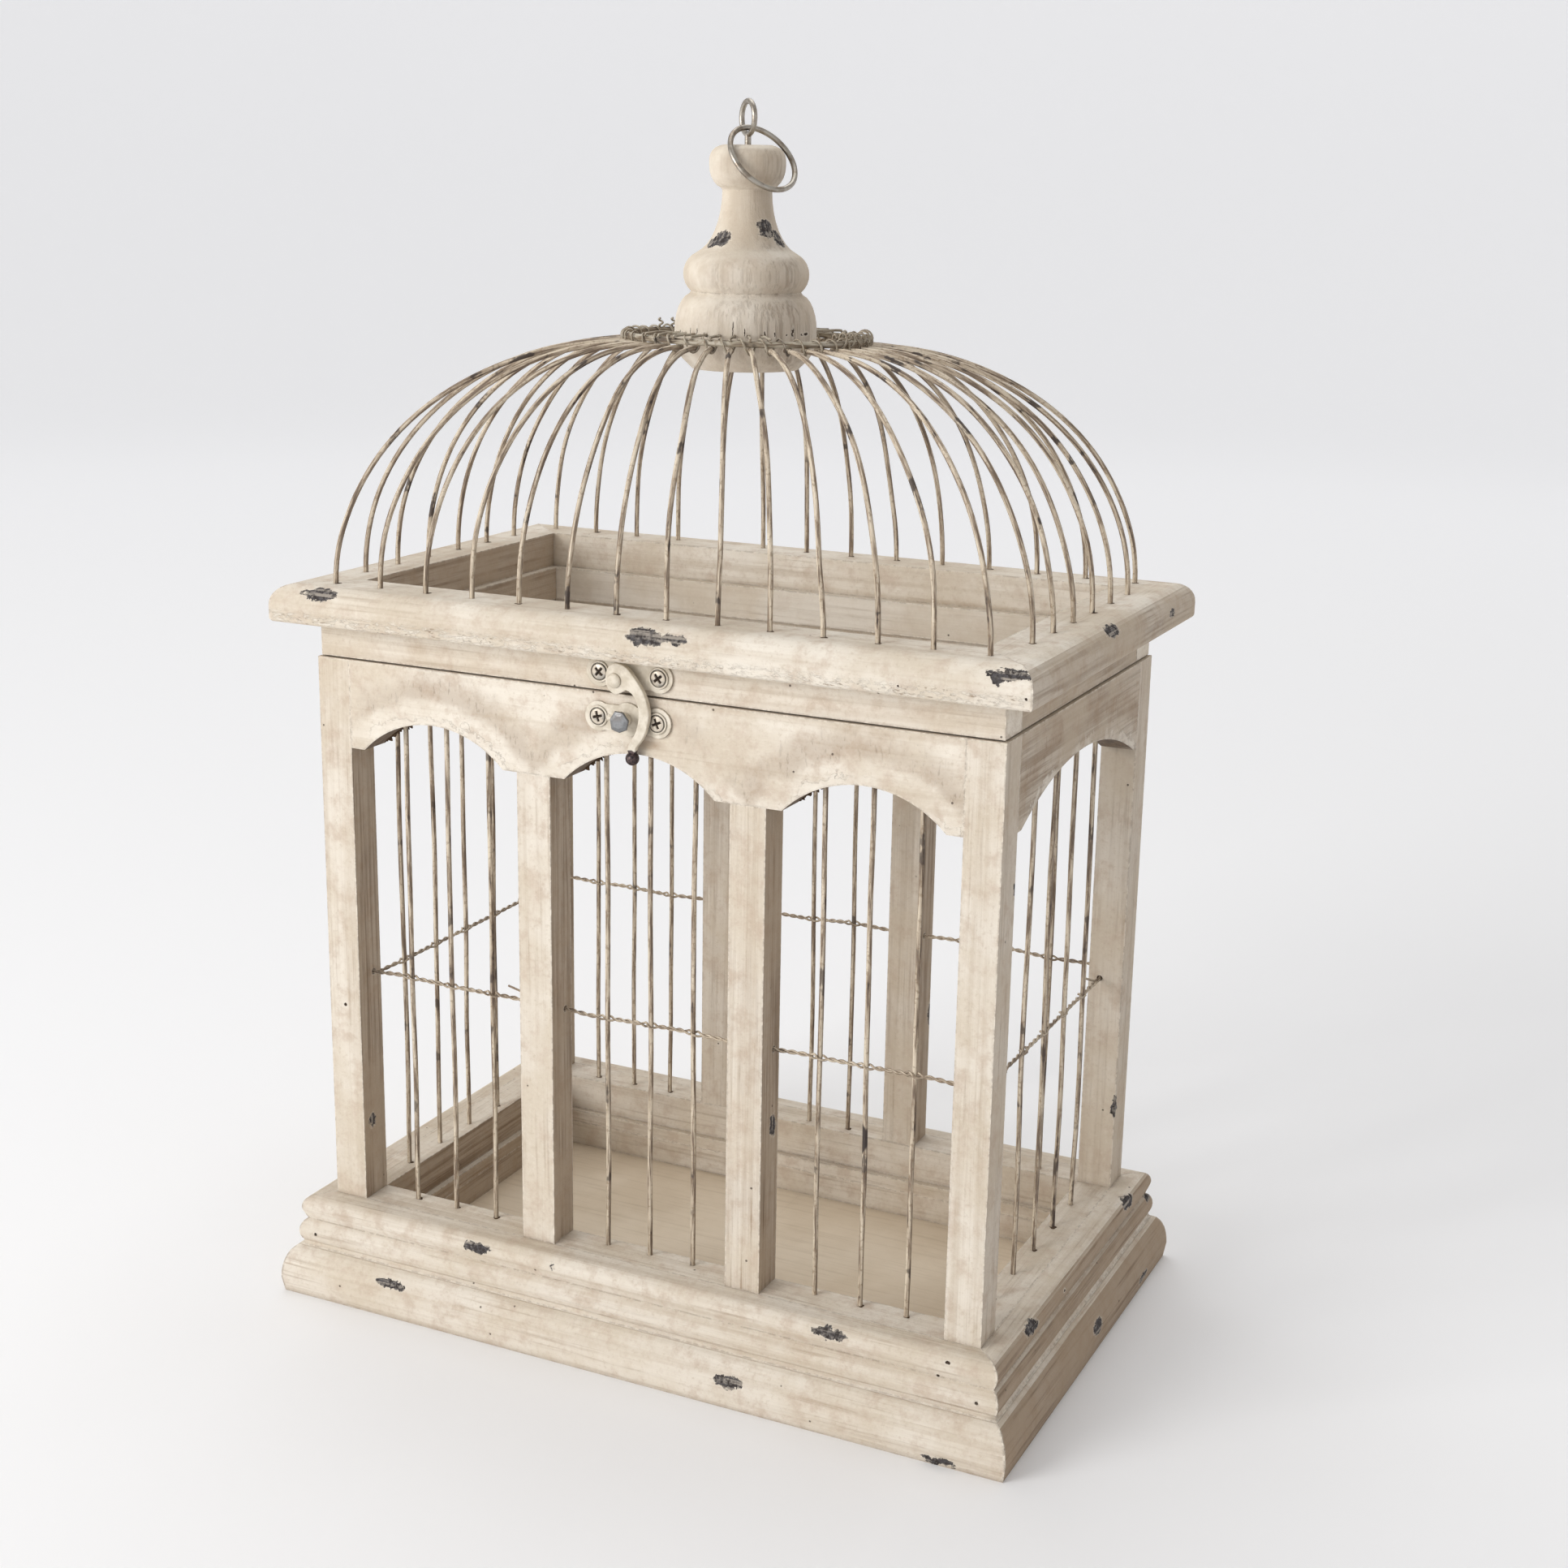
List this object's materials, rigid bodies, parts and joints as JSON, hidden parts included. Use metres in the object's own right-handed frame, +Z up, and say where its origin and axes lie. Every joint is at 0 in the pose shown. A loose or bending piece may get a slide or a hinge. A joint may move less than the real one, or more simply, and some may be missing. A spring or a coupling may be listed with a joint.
{
  "type": "wedding card box",
  "caption": "Bird-cage style card box in painted wood and wire: arched cage on a moulded base, hinged wire-dome lid, turned finial, hanging ring and hook clasp.",
  "frame": {"origin": "centre of the base's underside, where it stands on a table", "axes": "+Z up, +X to the right of someone facing the clasp, +Y to the back where the hinges are"},
  "size_m": [0.286, 0.181, 0.4292],
  "materials": {
    "wood": "distressed cream paint over wood",
    "floor": "thin cream wash on plywood",
    "wire": "worn cream paint on wire",
    "clasp": "cream paint on cast clasp parts",
    "steel": "dull nickel-plated steel"
  },
  "bodies": {
    "box": {"plinth_front": "wood", "plinth_right": "wood", "plinth_back": "wood", "plinth_left": "wood", "base_cap_front": "wood", "base_cap_right": "wood", "base_cap_back": "wood", "base_cap_left": "wood", "floor_panel": "floor", "sill_front": "wood", "sill_right": "wood", "sill_back": "wood", "sill_left": "wood", "corner_post_front_left": "wood", "corner_post_front_right": "wood", "corner_post_back_left": "wood", "corner_post_back_right": "wood", "mid_post_front_left": "wood", "mid_post_front_right": "wood", "mid_post_back_left": "wood", "mid_post_back_right": "wood", "apron_front": "wood", "apron_right": "wood", "apron_back": "wood", "apron_left": "wood", "wires_front": "wire", "wires_right": "wire", "wires_back": "wire", "wires_left": "wire", "tie_wires_front": "wire", "tie_wires_back": "wire", "tie_wires_sides": "wire", "base_brads": "steel", "lower_hinge_leaves": "steel", "hinge_pins": "steel", "lower_hinge_screws": "steel", "keeper_plate": "clasp", "keeper_screws": "steel"},
    "lid": {"lid_rim_front": "wood", "lid_rim_right": "wood", "lid_rim_back": "wood", "lid_rim_left": "wood", "lid_moulding_front": "wood", "lid_moulding_right": "wood", "lid_moulding_back": "wood", "lid_moulding_left": "wood", "dome_wires_front": "wire", "dome_wires_right": "wire", "dome_wires_back": "wire", "dome_wires_left": "wire", "crown_ring": "wire", "crown_lashing": "wire", "finial": "wood", "screw_eye": "steel", "upper_hinge_leaves": "steel", "upper_hinge_screws": "steel", "hook_plate": "clasp", "hook_plate_screws": "steel"},
    "hook": {"swing_hook": "clasp"},
    "ring": {"hanging_ring": "steel"}
  },
  "joints": [
    {"name": "lid_hinge", "type": "hinge", "parent": "box", "child": "lid", "pos_m": [0, 0.0771, 0.24025], "axis": [-1, 0, 0], "range_deg": [0, 150]},
    {"name": "hook_swing", "type": "hinge", "parent": "lid", "child": "hook", "pos_m": [-0.0068, -0.0778, 0.2453], "axis": [0, -1, 0], "range_deg": [0, 50]},
    {"name": "ring_swing", "type": "hinge", "parent": "lid", "child": "ring", "pos_m": [0, 0, 0.4198], "axis": [-0.3907, -0.9205, 0], "range_deg": [0, 286]}
  ]
}
